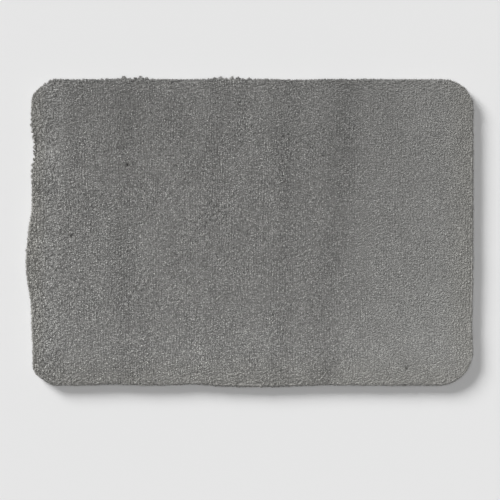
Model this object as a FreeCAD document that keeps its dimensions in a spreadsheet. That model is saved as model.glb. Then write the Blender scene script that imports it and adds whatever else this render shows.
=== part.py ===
import FreeCAD, Part

import math
import os

import Sketcher

# Bath mat, millimetres. +X runs along the mat, +Y across it, +Z up from the floor.
# The origin is on the floor, under the middle of the mat's overall box.
#
# A tufted mat is a stack of sheets cut to one outline: a dotted anti-slip sheet, a latex
# precoat, the woven backing, and the pile tufted through it. A three-thread overlock
# closes the cut edge all the way round, and a blank care label is sewn underneath.

DIMENSIONS = [
    # the outline at the pile's edge
    ("mat_length", 650.0, "straight right edge to straight left edge"),
    ("mat_width", 450.0, "near edge to far edge"),
    ("mat_thickness", 20.0, "floor to pile tips"),
    ("near_corner_radius", 51.0, "the round corner at the lower right"),
    ("far_corner_radius", 42.0, "the round corner at the upper right"),
    ("corner_cut_x", 31.0, "diagonal corners on the left, along X"),
    ("corner_cut_y", 20.0, "diagonal corners on the left, along Y"),
    ("cut_rounding", 22.0, "rounding at both ends of a diagonal corner"),
    ("edge_bulge", 9.0, "how far the left edge swells out"),
    ("bulge_reach", 75.0, "half the length of that swelling"),
    ("bulge_y", -45.0, "middle of that swelling"),
    # the layers, from the floor up
    ("dot_height", 0.8, "grip dots under the anti-slip sheet"),
    ("sheet_thickness", 1.0, "anti-slip sheet"),
    ("precoat_thickness", 0.5, "latex that locks the tufts"),
    ("backing_thickness", 0.5, "woven cloth that holds the tufts"),
    ("pile_rim", 4.5, "rounding of the pile's upper edge"),
    # the overlock seam
    ("hem_inset", 3.0, "seam's outer face, inside the pile's edge"),
    ("thread_thickness", 0.5, "one layer of looper thread"),
    ("seam_width", 6.0, "how far the seam reaches in from its outer face"),
    ("needle_width", 0.6, "needle thread at the inner side of the seam"),
    # the grip dots
    ("dot_radius", 2.5, "dot where it meets the sheet"),
    ("dot_taper", -30.0, "draft of a dot's side, degrees"),
    ("dot_pitch", 16.0, "one dot to the next in a row"),
    # the care label
    ("label_length", 56.0, "along X"),
    ("label_width", 32.0, "along Y"),
    ("label_thickness", 0.25, "woven ribbon"),
    ("label_x", 244.0, "middle of the label"),
    ("patch_length", 64.0, "dot-free patch under the label, along X"),
    ("stitch_length", 3.0, "one visible stitch"),
    ("stitch_width", 0.5, "sewing thread, flattened"),
    ("stitch_thickness", 0.3, "sewing thread, flattened"),
    ("stitch_pitch", 4.0, "one stitch to the next"),
    ("stitch_margin", 2.0, "stitch line inside the label's edge"),
]

# Counts: the grip dots stand in two interleaved grids, and both are centred on the origin.
DOT_COLUMNS = 37
DOT_ROWS = 15
STITCHES_ALONG = 13
STITCHES_ACROSS = 7

# Levels above the floor, as expressions on the sheet.
SHEET_BOTTOM = "dims.dot_height"
PRECOAT_BOTTOM = SHEET_BOTTOM + " + dims.sheet_thickness"
BACKING_BOTTOM = PRECOAT_BOTTOM + " + dims.precoat_thickness"
BACKING_TOP = BACKING_BOTTOM + " + dims.backing_thickness"
SEAM_BOTTOM = SHEET_BOTTOM + " - dims.thread_thickness"
SEAM_MIDDLE = PRECOAT_BOTTOM
SEAM_TOP = BACKING_TOP + " + dims.thread_thickness"
LABEL_BOTTOM = SHEET_BOTTOM + " - dims.label_thickness"
STITCH_BOTTOM = LABEL_BOTTOM + " - dims.stitch_thickness"

# How far each outline lies inside the pile's edge.
PILE_EDGE = "0"
SEAM_OUTSIDE = "dims.hem_inset"
SHEETS_EDGE = SEAM_OUTSIDE + " + dims.thread_thickness"
SEAM_INSIDE = SEAM_OUTSIDE + " + dims.seam_width"
NEEDLE_INSIDE = SEAM_INSIDE + " + dims.needle_width"

BULGE_RADIUS = "(dims.bulge_reach^2 + dims.edge_bulge^2) / (4 * dims.edge_bulge)"

doc = FreeCAD.newDocument("bath_mat")
sheet = doc.addObject("Spreadsheet::Sheet", "dims")
for row, (alias, value, meaning) in enumerate(DIMENSIONS, start=1):
    sheet.set(f"A{row}", meaning)
    sheet.set(f"B{row}", str(value))
    sheet.setAlias(f"B{row}", alias)
doc.recompute()


def origin_feature(body, role):
    """A plane or axis of the body's own origin."""
    return next(f for f in body.Origin.OriginFeatures if f.Role == role)


def value_of(expression):
    """The value of an expression on the sheet, for a sketch's first shape."""
    return float(sheet.evalExpression(expression.replace("dims.", "")))


def new_body(label, level, centred="dims.edge_bulge / 2"):
    """A body at a level above the floor; the outline's own centre is half a bulge along X."""
    body = doc.addObject("PartDesign::Body", label)
    body.Label = label
    body.setExpression("Placement.Base.x", centred)
    body.setExpression("Placement.Base.z", level)
    return body


def new_sketch(body, name):
    """An empty sketch on the body's XY plane."""
    sketch = body.newObject("Sketcher::SketchObject", name)
    sketch.AttachmentSupport = (origin_feature(body, "XY_Plane"), [""])
    sketch.MapMode = "FlatFace"
    return sketch


def constrain(sketch, kind, *places, size=None):
    """A constraint, bound to an expression where it has a size."""
    if size is None:
        sketch.addConstraint(Sketcher.Constraint(kind, *places))
        return
    index = sketch.addConstraint(Sketcher.Constraint(kind, *places, value_of(size)))
    sketch.setExpression(f"Constraints[{index}]", size)


def outline_corners(inset):
    """The outline's sharp corners: the round pair, then the ends of the diagonal pair."""
    half_x = value_of(f"dims.mat_length / 2 - ({inset})")
    half_y = value_of(f"dims.mat_width / 2 - ({inset})")
    cut_x = value_of("dims.corner_cut_x")
    cut_y = value_of("dims.corner_cut_y")
    round_pair = [(half_x, -half_y), (half_x, half_y)]
    cut_ends = [
        (cut_x - half_x, half_y),
        (-half_x, half_y - cut_y),
        (-half_x, cut_y - half_y),
        (cut_x - half_x, -half_y),
    ]
    return round_pair, cut_ends


def draw_outline(sketch, inset):
    """The mat's outline with sharp corners: seven straight edges and the left edge's swelling,
    which is three tangent arcs, hollow, full and hollow again."""
    (low_right, high_right), cut_ends = outline_corners(inset)
    high_cut, high_left, low_left, low_cut = cut_ends
    left_x = low_left[0]
    middle = value_of("dims.bulge_y")
    reach = value_of("dims.bulge_reach")
    hollow = value_of(f"{BULGE_RADIUS} + ({inset})")
    full = value_of(f"{BULGE_RADIUS} - ({inset})")
    turn = math.asin(reach / (hollow + full))
    full_centre = left_x - hollow * (1 - math.cos(turn)) + full * math.cos(turn)
    up = FreeCAD.Vector(0, 0, 1)

    def point(pair):
        return FreeCAD.Vector(pair[0], pair[1], 0)

    def arc(centre_x, centre_y, radius, start, end):
        circle = Part.Circle(FreeCAD.Vector(centre_x, centre_y, 0), up, radius)
        return sketch.addGeometry(Part.ArcOfCircle(circle, start, end))

    def line(start, end):
        return sketch.addGeometry(Part.LineSegment(point(start), point(end)))

    bulge_high = (left_x, middle + reach)
    bulge_low = (left_x, middle - reach)
    near = line(low_cut, low_right)
    right = line(low_right, high_right)
    far = line(high_right, high_cut)
    high_diagonal = line(high_cut, high_left)
    left_high = line(high_left, bulge_high)
    hollow_high = arc(left_x - hollow, middle + reach, hollow, -turn, 0)
    swelling = arc(full_centre, middle, full, math.pi - turn, math.pi + turn)
    hollow_low = arc(left_x - hollow, middle - reach, hollow, 0, turn)
    left_low = line(bulge_low, low_left)
    low_diagonal = line(low_left, low_cut)

    start, end, root = 1, 2, (-1, 1)
    ring = [low_diagonal, near, right, far, high_diagonal, left_high]
    for first, second in zip(ring, ring[1:]):
        constrain(sketch, "Coincident", first, end, second, start)
    constrain(sketch, "Coincident", left_low, end, low_diagonal, start)
    for level in (near, far):
        constrain(sketch, "Horizontal", level)
    for upright in (right, left_high, left_low):
        constrain(sketch, "Vertical", upright)
    constrain(sketch, "Tangent", left_high, end, hollow_high, end)
    constrain(sketch, "Tangent", hollow_high, start, swelling, start)
    constrain(sketch, "Tangent", swelling, end, hollow_low, end)
    constrain(sketch, "Tangent", hollow_low, start, left_low, start)

    half_x = f"dims.mat_length / 2 - ({inset})"
    half_y = f"dims.mat_width / 2 - ({inset})"
    constrain(sketch, "DistanceX", *root, right, start, size=half_x)
    constrain(sketch, "DistanceX", left_high, start, *root, size=half_x)
    constrain(sketch, "DistanceX", left_low, end, *root, size=half_x)
    constrain(sketch, "DistanceY", *root, far, start, size=half_y)
    constrain(sketch, "DistanceY", near, start, *root, size=half_y)
    constrain(sketch, "DistanceX", far, end, *root, size=f"{half_x} - dims.corner_cut_x")
    constrain(sketch, "DistanceX", near, start, *root, size=f"{half_x} - dims.corner_cut_x")
    constrain(sketch, "DistanceY", *root, left_high, start, size=f"{half_y} - dims.corner_cut_y")
    constrain(sketch, "DistanceY", left_low, end, *root, size=f"{half_y} - dims.corner_cut_y")
    constrain(sketch, "DistanceY", *root, left_high, end, size="dims.bulge_y + dims.bulge_reach")
    constrain(sketch, "DistanceY", left_low, start, *root, size="dims.bulge_reach - dims.bulge_y")
    constrain(sketch, "Radius", hollow_high, size=f"{BULGE_RADIUS} + ({inset})")
    constrain(sketch, "Radius", swelling, size=f"{BULGE_RADIUS} - ({inset})")
    constrain(sketch, "Radius", hollow_low, size=f"{BULGE_RADIUS} + ({inset})")


def edges_at(shape, wanted):
    """Names of the edges whose middle the test accepts."""
    middles = [edge.CenterOfMass for edge in shape.Edges]
    return [f"Edge{i}" for i, middle in enumerate(middles, start=1) if wanted(middle)]


def add_fillet(body, name, base, wanted, radius):
    """A fillet on the base feature's edges that the test accepts."""
    fillet = body.newObject("PartDesign::Fillet", name)
    fillet.Base = (base, edges_at(base.Shape, wanted))
    fillet.setExpression("Radius", radius)
    body.Tip = fillet
    doc.recompute()
    return fillet


def cut_sheet(label, inset, level, thickness):
    """A flat sheet of the mat's outline, its six corners rounded."""
    body = new_body(label, level)
    sketch = new_sketch(body, f"{label}_outline")
    draw_outline(sketch, inset)
    pad = body.newObject("PartDesign::Pad", f"{label}_pad")
    pad.Profile = sketch
    pad.setExpression("Length", thickness)
    doc.recompute()

    def stands_on(corners):
        def test(middle):
            return any(math.dist((middle.x, middle.y), corner) < 0.01 for corner in corners)
        return test

    (near_right, far_right), cut_ends = outline_corners(inset)
    rounded = pad
    for name, corners, radius in (
        ("near_corner", [near_right], "dims.near_corner_radius"),
        ("far_corner", [far_right], "dims.far_corner_radius"),
        ("cut_ends", cut_ends, "dims.cut_rounding"),
    ):
        rounded = add_fillet(body, f"{label}_{name}", rounded, stands_on(corners),
                             f"{radius} - ({inset})")
    return body


def boolean(kind, label, base, tool):
    """A Part boolean of two objects."""
    result = doc.addObject(f"Part::{kind}", label)
    result.Label = label
    result.Base = base
    result.Tool = tool
    return result


def make_pile():
    """Tufts as one soft block: its roots stand inside the seam, and above the seam it
    spreads to the mat's edge, where its upper rim is rounded."""
    height = f"dims.mat_thickness - ({SEAM_TOP})"
    block = cut_sheet("pile_block", PILE_EDGE, SEAM_TOP, height)
    top = value_of(height)
    add_fillet(block, "pile_block_rim", block.Tip, lambda middle: abs(middle.z - top) < 0.01,
               "dims.pile_rim")
    roots = cut_sheet("pile_roots", SEAM_INSIDE, BACKING_TOP, "dims.thread_thickness")
    return boolean("Fuse", "pile", block, roots)


def make_looper_thread(label, bottom, top):
    """Half of the seam round the cut edge: a band that turns from the sheets' face on to
    their edge, where it meets the other looper's thread."""
    blank = cut_sheet(f"{label}_blank", SEAM_OUTSIDE, bottom, f"({top}) - ({bottom})")
    stack = cut_sheet(f"{label}_stack", SHEETS_EDGE, SHEET_BOTTOM, f"({BACKING_TOP}) - ({SHEET_BOTTOM})")
    inside = cut_sheet(f"{label}_inside", SEAM_INSIDE, bottom, f"({top}) - ({bottom})")
    band = boolean("Cut", f"{label}_band", blank, stack)
    return boolean("Cut", label, band, inside)


def make_needle_thread():
    """The needle thread's line of stitches, along the seam's inner side underneath."""
    outside = cut_sheet("needle_outside", SEAM_INSIDE, SEAM_BOTTOM, "dims.thread_thickness")
    inside = cut_sheet("needle_inside", NEEDLE_INSIDE, SEAM_BOTTOM, "dims.thread_thickness")
    return boolean("Cut", "needle_thread", outside, inside)


def add_dot_grid(body, name, columns, rows):
    """A grid of tapered grip dots under the sheet, centred on the mat's origin."""
    row_pitch = "dims.dot_pitch * sqrt(3)"
    first_x = f"dims.dot_pitch * {columns - 1} / 2 + dims.edge_bulge / 2"
    first_y = f"{row_pitch} * {rows - 1} / 2"
    sketch = new_sketch(body, f"{name}_sketch")
    centre = FreeCAD.Vector(-value_of(first_x), -value_of(first_y), 0)
    circle = Part.Circle(centre, FreeCAD.Vector(0, 0, 1), value_of("dims.dot_radius"))
    dot = sketch.addGeometry(circle)
    constrain(sketch, "Radius", dot, size="dims.dot_radius")
    constrain(sketch, "DistanceX", dot, 3, -1, 1, size=first_x)
    constrain(sketch, "DistanceY", dot, 3, -1, 1, size=first_y)
    pad = body.newObject("PartDesign::Pad", f"{name}_pad")
    pad.Profile = sketch
    pad.Reversed = True
    pad.setExpression("Length", "dims.dot_height")
    pad.setExpression("TaperAngle", "dims.dot_taper")
    doc.recompute()

    grid = body.newObject("PartDesign::MultiTransform", f"{name}_grid")
    grid.Originals = [pad]
    along = doc.addObject("PartDesign::LinearPattern", f"{name}_along")
    across = doc.addObject("PartDesign::LinearPattern", f"{name}_across")
    for pattern, axis, count, pitch in (
        (along, "X_Axis", columns, "dims.dot_pitch"),
        (across, "Y_Axis", rows, row_pitch),
    ):
        pattern.Direction = (origin_feature(body, axis), [""])
        pattern.Occurrences = count
        pattern.setExpression("Length", f"{pitch} * {count - 1}")
    grid.Transformations = [along, across]
    body.Tip = grid
    doc.recompute()


def rectangle(sketch, length, width, centre_x):
    """A rectangle centred on the X axis, `centre_x` from the body's origin."""
    half_x = value_of(f"({length}) / 2")
    half_y = value_of(f"({width}) / 2")
    middle = value_of(centre_x)
    corners = [
        FreeCAD.Vector(middle + side_x * half_x, side_y * half_y, 0)
        for side_x, side_y in ((-1, -1), (1, -1), (1, 1), (-1, 1))
    ]
    for first, second in zip(corners, corners[1:] + corners[:1]):
        sketch.addGeometry(Part.LineSegment(first, second))
    for side in range(4):
        constrain(sketch, "Coincident", side, 2, (side + 1) % 4, 1)
    for side, kind in enumerate(("Horizontal", "Vertical", "Horizontal", "Vertical")):
        constrain(sketch, kind, side)
    constrain(sketch, "DistanceX", 0, 1, 0, 2, size=length)
    constrain(sketch, "DistanceY", 1, 1, 1, 2, size=width)
    constrain(sketch, "DistanceX", -1, 1, 0, 1, size=f"{centre_x} - ({length}) / 2")
    constrain(sketch, "DistanceY", 0, 1, -1, 1, size=f"({width}) / 2")


def make_anti_slip_sheet():
    """Moulded anti-slip sheet with two interleaved grids of dots, left smooth where the care
    label is sewn on."""
    body = cut_sheet("anti_slip_sheet", SHEETS_EDGE, SHEET_BOTTOM, "dims.sheet_thickness")
    add_dot_grid(body, "outer_dots", DOT_COLUMNS, DOT_ROWS)
    add_dot_grid(body, "inner_dots", DOT_COLUMNS - 1, DOT_ROWS - 1)
    sketch = new_sketch(body, "label_patch_sketch")
    rectangle(sketch, "dims.patch_length", "dims.dot_pitch * sqrt(3) * 3 / 2",
              "dims.label_x - dims.edge_bulge / 2")
    patch = body.newObject("PartDesign::Pocket", "label_patch")
    patch.Profile = sketch
    patch.setExpression("Length", "dims.dot_height")
    body.Tip = patch
    return body


def make_care_label():
    """Blank woven label, flat against the anti-slip sheet."""
    body = new_body("care_label", LABEL_BOTTOM, centred="dims.label_x")
    sketch = new_sketch(body, "care_label_sketch")
    rectangle(sketch, "dims.label_length", "dims.label_width", "0")
    pad = body.newObject("PartDesign::Pad", "care_label_pad")
    pad.Profile = sketch
    pad.setExpression("Length", "dims.label_thickness")
    return body


def make_label_stitching():
    """The stitches that hold the label down along its four sides."""
    stitches = []

    def add_stitch(length, width, x_middle, y_middle):
        stitch = doc.addObject("Part::Box", f"label_stitch_{len(stitches) + 1}")
        stitch.setExpression("Length", length)
        stitch.setExpression("Width", width)
        stitch.setExpression("Height", "dims.stitch_thickness")
        stitch.setExpression("Placement.Base.x", f"dims.label_x + {x_middle} - {length} / 2")
        stitch.setExpression("Placement.Base.y", f"{y_middle} - {width} / 2")
        stitch.setExpression("Placement.Base.z", STITCH_BOTTOM)
        stitches.append(stitch)

    line_x = "(dims.label_length / 2 - dims.stitch_margin)"
    line_y = "(dims.label_width / 2 - dims.stitch_margin)"
    for side in (-1, 1):
        for i in range(STITCHES_ALONG):
            along = f"dims.stitch_pitch * {i - (STITCHES_ALONG - 1) / 2}"
            add_stitch("dims.stitch_length", "dims.stitch_width", along, f"{side} * {line_y}")
        for i in range(STITCHES_ACROSS):
            across = f"dims.stitch_pitch * {i - (STITCHES_ACROSS - 1) / 2}"
            add_stitch("dims.stitch_width", "dims.stitch_length", f"{side} * {line_x}", across)
    group = doc.addObject("Part::Compound", "label_stitching")
    group.Label = "label_stitching"
    group.Links = stitches
    return group


nodes = [
    make_anti_slip_sheet(),
    cut_sheet("latex_precoat", SHEETS_EDGE, PRECOAT_BOTTOM, "dims.precoat_thickness"),
    cut_sheet("primary_backing", SHEETS_EDGE, BACKING_BOTTOM, "dims.backing_thickness"),
    make_pile(),
    make_looper_thread("upper_looper_thread", SEAM_MIDDLE, SEAM_TOP),
    make_looper_thread("lower_looper_thread", SEAM_BOTTOM, SEAM_MIDDLE),
    make_needle_thread(),
    make_care_label(),
    make_label_stitching(),
]
doc.recompute()

for item in doc.Objects:
    if "Invalid" in item.State or "Error" in item.State:
        raise RuntimeError(f"{item.Label} did not build: {item.State}")
for node in nodes:
    if node.Shape.isNull() or not node.Shape.isValid():
        raise RuntimeError(f"{node.Label} has no valid shape")

os.makedirs("parts", exist_ok=True)
for node in nodes:
    node.Shape.exportStep(f"parts/{node.Label}.step")
    box = node.Shape.BoundBox
    print(f"{node.Label}: {len(node.Shape.Solids)} solid(s), {node.Shape.Volume:.0f} mm3, "
          f"x {box.XMin:.2f}..{box.XMax:.2f}, y {box.YMin:.2f}..{box.YMax:.2f}, "
          f"z {box.ZMin:.2f}..{box.ZMax:.2f}")
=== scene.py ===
import math

import bpy
import numpy as np
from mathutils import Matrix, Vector


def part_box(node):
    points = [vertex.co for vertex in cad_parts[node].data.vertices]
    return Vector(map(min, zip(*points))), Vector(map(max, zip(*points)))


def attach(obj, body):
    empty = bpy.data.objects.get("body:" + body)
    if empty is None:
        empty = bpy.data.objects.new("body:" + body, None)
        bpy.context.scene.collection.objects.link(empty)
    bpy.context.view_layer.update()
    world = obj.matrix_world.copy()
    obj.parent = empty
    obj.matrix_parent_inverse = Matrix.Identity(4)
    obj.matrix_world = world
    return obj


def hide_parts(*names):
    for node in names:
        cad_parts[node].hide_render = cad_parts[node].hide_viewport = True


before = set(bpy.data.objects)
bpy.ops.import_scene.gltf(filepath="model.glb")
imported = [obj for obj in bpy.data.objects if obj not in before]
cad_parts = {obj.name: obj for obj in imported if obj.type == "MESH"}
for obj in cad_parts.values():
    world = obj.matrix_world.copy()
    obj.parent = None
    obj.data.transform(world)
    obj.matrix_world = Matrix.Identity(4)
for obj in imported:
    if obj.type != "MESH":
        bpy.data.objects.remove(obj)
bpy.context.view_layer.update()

# Plush bath mat, metres, in the CAD model's frame. The CAD nodes give every place; this script
# makes the tufts, threads, cloth and label that the real mat shows, and all the materials.

MM = 0.001
SEED = 11

PILE_LOW, PILE_HIGH = np.array(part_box("pile"))
BACKING_LOW, BACKING_HIGH = np.array(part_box("primary_backing"))
LABEL_LOW, LABEL_HIGH = np.array(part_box("care_label"))
STITCH_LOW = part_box("label_stitching")[0][2]
SEAM_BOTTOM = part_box("lower_looper_thread")[0][2]
SEAM_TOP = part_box("upper_looper_thread")[1][2]

# The outline at the pile's edge, as in the CAD model.
EDGE_BULGE = 9 * MM
BULGE_REACH = 75 * MM
BULGE_Y = -45 * MM
NEAR_CORNER_RADIUS = 51 * MM
FAR_CORNER_RADIUS = 42 * MM
CUT_X = 31 * MM
CUT_Y = 20 * MM
CUT_ROUNDING = 22 * MM
RIGHT_X = PILE_HIGH[0]
LEFT_X = -PILE_HIGH[0] + EDGE_BULGE
HALF_Y = PILE_HIGH[1]
OUTLINE_STEP = 1.5 * MM

# Insets from the pile's edge, as in the CAD model.
SHEETS_INSET = 3.5 * MM
NEEDLE_INSET = 9.3 * MM
SEAM_HALF_HEIGHT = 1.5 * MM
SEAM_MIDDLE = SEAM_TOP - SEAM_HALF_HEIGHT


# ---- outline

def unit(rows):
    """Each row as a direction of length 1."""
    return rows / np.linalg.norm(rows, axis=1)[:, None]


def arc_points(before, corner, after, radius):
    """Points of the arc that rounds the corner between two straight runs."""
    back = (before - corner) / np.linalg.norm(before - corner)
    ahead = (after - corner) / np.linalg.norm(after - corner)
    half = math.acos(np.clip(back @ ahead, -1, 1)) / 2
    reach = radius / math.tan(half)
    middle = corner + (back + ahead) / np.linalg.norm(back + ahead) * radius / math.sin(half)
    start = corner + back * reach - middle
    turn = math.pi - 2 * half
    count = max(4, int(turn * radius / OUTLINE_STEP))
    angles = np.linspace(0, turn, count + 1)
    return [
        middle + (start[0] * math.cos(a) - start[1] * math.sin(a),
                  start[0] * math.sin(a) + start[1] * math.cos(a))
        for a in angles
    ]


def line_at(places, along, line):
    """The line at places between its points, whose own places are along."""
    return np.column_stack([np.interp(places, along, line[:, k]) for k in range(2)])


def resample(points, step):
    """A closed line's points again, evenly spaced, with its outward normals."""
    closed = np.vstack([points, points[:1]])
    lengths = np.hypot(*np.diff(closed, axis=0).T)
    along = np.concatenate([[0], np.cumsum(lengths)])
    count = int(round(along[-1] / step))
    places = np.linspace(0, along[-1], count, endpoint=False)
    even = line_at(places, along, closed)
    run = unit(np.roll(even, -1, axis=0) - np.roll(even, 1, axis=0))
    normals = np.column_stack([run[:, 1], -run[:, 0]])
    return even, normals


def mat_outline():
    """The mat's outline at the pile's edge, counter-clockwise from the near side."""
    swell_y = BULGE_Y + np.linspace(BULGE_REACH, -BULGE_REACH, 61)
    swell_x = LEFT_X - EDGE_BULGE / 2 * (1 + np.cos(np.pi * (swell_y - BULGE_Y) / BULGE_REACH))
    corners = np.array([
        (RIGHT_X, -HALF_Y), (RIGHT_X, HALF_Y), (LEFT_X + CUT_X, HALF_Y),
        (LEFT_X, HALF_Y - CUT_Y), (LEFT_X, CUT_Y - HALF_Y), (LEFT_X + CUT_X, -HALF_Y),
    ])
    radii = [NEAR_CORNER_RADIUS, FAR_CORNER_RADIUS] + 4 * [CUT_ROUNDING]
    points = []
    for i, radius in enumerate(radii):
        points += arc_points(corners[i - 1], corners[i], corners[(i + 1) % len(corners)], radius)
        if i == 3:  # the swelling follows the upper corner of the left side
            points += list(np.column_stack([swell_x, swell_y]))
    return resample(np.array(points), OUTLINE_STEP)


OUTLINE, NORMALS = mat_outline()


def outline_at(shares):
    """Points and outward normals of the outline at shares of its length."""
    places = shares * len(OUTLINE)
    whole = np.arange(len(OUTLINE) + 1)
    point, normal = (
        line_at(places, whole, np.vstack([line, line[:1]])) for line in (OUTLINE, NORMALS)
    )
    return point, unit(normal)


SIDES = {  # the way each side faces, and the axis that places along it are measured on
    "left": ((-1.0, 0.0), 1),
    "right": ((1.0, 0.0), 1),
    "near": ((0.0, -1.0), 0),
    "far": ((0.0, 1.0), 0),
    "far_left": ((-0.54, 0.84), 0),
    "near_left": ((-0.54, -0.84), 0),
}
# The finished edge isn't quite the cut line: the pile stands proud of it or falls short.
EDGE_SWELLS = [  # a side, then in mm: a place along it, how far out, half its spread
    ("left", 122, -7.2, 26),
    ("left", 178, 0.8, 18),
    ("left", 8, 3.0, 20),
    ("left", -110, 1.0, 30),
    ("left", -185, -1.5, 24),
    ("near", 12, 2.2, 62),
    ("near", -82, -2.2, 26),
    ("near", -200, -1.8, 30),
    ("near", 120, -0.8, 40),
    ("far", 0, 0.5, 900),
    ("far", -175, 0.8, 26),
    ("far", -30, 0.6, 40),
    ("far", 70, -0.8, 24),
    ("right", -135, -1.8, 45),
    ("far_left", -300, 1.0, 18),
    ("near_left", -300, 1.0, 18),
]
EDGE_TUFTS = [  # where tufts break the edge: side, then in mm: middle, half length, height
    ("far", -180, 38, 6.0),
    ("far", -20, 44, 4.8),
    ("far", 150, 60, 0.9),
    ("left", 124, 44, 6.6),
    ("left", -30, 34, 2.0),
    ("left", -130, 50, 0.8),
    ("near", 0, 90, 1.2),
    ("near", 180, 70, 0.7),
    ("far_left", -290, 16, 2.0),
]
EDGE_ROUGHNESS = 0.3 * MM
SCALLOP_PITCH = 4.2 * MM
PEAK_RANGE = (0.15, 1)
DIP_RANGE = (-0.35, 0.1)
FACING_FROM = 0.8


def edge_share(side, middle, spread, power):
    """1 at a place along one of the mat's sides, and 0 away from it, for each outline point."""
    way, axis = SIDES[side]
    facing = np.clip((NORMALS @ np.array(way) - FACING_FROM) / (1 - FACING_FROM), 0, 1)
    return facing * np.exp(-np.abs((OUTLINE[:, axis] - middle) / spread) ** power)


def edge_swell():
    """How far the pile's edge lies outside the outline, for each outline point."""
    total = np.zeros(len(OUTLINE))
    for side, place, height, spread in EDGE_SWELLS:
        total += height * MM * edge_share(side, place * MM, spread * MM, 2)
    rough = np.full(len(OUTLINE), EDGE_ROUGHNESS)
    for side, middle, spread, height in EDGE_TUFTS:
        rough += height * MM * edge_share(side, middle * MM, spread * MM, 4)
    draw = np.random.default_rng(SEED + 3)
    knots = 2 * int(len(OUTLINE) * OUTLINE_STEP / SCALLOP_PITCH / 2)
    places = np.arange(len(OUTLINE)) / len(OUTLINE) * knots
    draw.random(knots)  # skips this seed's first values, which sets how far each peak stands out
    heights = np.zeros(knots)
    heights[0::2] = draw.uniform(*PEAK_RANGE, knots // 2)
    heights[1::2] = draw.uniform(*DIP_RANGE, knots // 2)
    scallops = np.interp(places, np.arange(knots + 1), np.append(heights, heights[0]))
    return total + rough * scallops


SWELL = edge_swell()


# ---- fields

FIELD_MARGIN = 0.1
FAR_AWAY = 1.0
EDGE_BAND = 60 * MM
POINTS_AT_ONCE = 4000


def smooth(t):
    return t * t * (3 - 2 * t)


def ease(share):
    """The share held between 0 and 1, with a soft start and end."""
    return smooth(np.clip(share, 0, 1))


def hump(share):
    """1 at 0, falling to 0 on both sides of it."""
    return np.exp(-share ** 2)


def spot(x, y, middle, size):
    """1 at a place on the mat, falling to 0 around it."""
    return np.exp(-((x - middle[0]) ** 2 + (y - middle[1]) ** 2) / size ** 2)


def field(seed, x, y, cell_x, cell_y):
    """Smooth noise from -1 to 1 with features of the given size in mm; each seed gives another."""
    draw = np.random.default_rng(SEED * 1000 + seed)
    u = (x - PILE_LOW[0] + FIELD_MARGIN) / (cell_x * MM)
    v = (y - PILE_LOW[1] + FIELD_MARGIN) / (cell_y * MM)
    i, j = u.astype(int), v.astype(int)
    grid = draw.uniform(-1, 1, (i.max() + 2, j.max() + 2))
    fu, fv = smooth(u - i), smooth(v - j)
    low = grid[i, j] * (1 - fu) + grid[i + 1, j] * fu
    high = grid[i, j + 1] * (1 - fu) + grid[i + 1, j + 1] * fu
    return low * (1 - fv) + high * fv


def edge_of(x, y):
    """For points inside the mat: distance to the outline, outward normal and the edge's swell.
    Points far from any side get a large distance and no normal."""
    count = len(x)
    distance = np.full(count, FAR_AWAY)
    normal = np.zeros((count, 2))
    swell = np.zeros(count)
    beside = (x < LEFT_X + EDGE_BAND) | (x > RIGHT_X - EDGE_BAND)
    near = np.flatnonzero(beside | (np.abs(y) > HALF_Y - EDGE_BAND))
    for start in range(0, len(near), POINTS_AT_ONCE):
        part = near[start:start + POINTS_AT_ONCE]
        away = np.hypot(x[part, None] - OUTLINE[None, :, 0], y[part, None] - OUTLINE[None, :, 1])
        closest = away.argmin(axis=1)
        gap = OUTLINE[closest] - np.column_stack([x[part], y[part]])
        distance[part] = (gap * NORMALS[closest]).sum(axis=1)
        normal[part] = NORMALS[closest]
        swell[part] = SWELL[closest]
    return distance, normal, swell


# ---- meshes

def add_object(data):
    """A new object that shows the data, under the same name."""
    made = bpy.data.objects.new(data.name, data)
    bpy.context.scene.collection.objects.link(made)
    return made


def finish_piece(mesh, material, slot, *nodes):
    """The mesh as a piece with its material, in the place of the CAD nodes."""
    mesh.materials.append(material)
    piece = add_object(mesh)
    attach(piece, "root")
    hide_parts(*nodes)
    return piece


def mesh_from(name, vertices, corners, sizes, smooth_faces=True):
    """A mesh from its vertices, its face corners in a row, and how many corners each face has."""
    mesh = bpy.data.meshes.new(name)
    mesh.vertices.add(len(vertices))
    mesh.vertices.foreach_set("co", np.ascontiguousarray(vertices, dtype=np.float32).ravel())
    mesh.loops.add(len(corners))
    mesh.loops.foreach_set("vertex_index", np.ascontiguousarray(corners, dtype=np.int32))
    mesh.polygons.add(len(sizes))
    starts = np.concatenate([[0], np.cumsum(sizes)[:-1]]).astype(np.int32)
    mesh.polygons.foreach_set("loop_start", starts)
    mesh.polygons.foreach_set("use_smooth", np.full(len(sizes), smooth_faces))
    mesh.update(calc_edges=True)
    return mesh


CELL_MARGIN = 0.15
PLY_PITCH = 2.1 * MM
PLY_DEPTH = 0.14


def add_attribute(mesh, name, values):
    layer = mesh.attributes.new(name, "FLOAT", "POINT")
    layer.data.foreach_set("value", np.ascontiguousarray(values, dtype=np.float32))


def set_map(mesh, places):
    """The colour map's place for each face corner, in order."""
    layer = mesh.uv_layers.new(name="OFBake")
    layer.data.foreach_set("uv", np.asarray(places, dtype=np.float32).ravel())


def set_cells(mesh, faces):
    """A cell of the colour map for each of the mesh's four-sided faces, in order."""
    cells = math.ceil(math.sqrt(faces))
    low, high = CELL_MARGIN, 1 - CELL_MARGIN
    square = [(low, low), (high, low), (high, high), (low, high)]
    set_map(mesh, [((i % cells + u) / cells, (i // cells + v) / cells)
                   for i in range(faces) for u, v in square])


def around(grid):
    """The four corners of each cell of a grid, counter-clockwise."""
    return np.stack([grid[:-1, :-1], grid[:-1, 1:], grid[1:, 1:], grid[1:, :-1]], axis=2)


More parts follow.
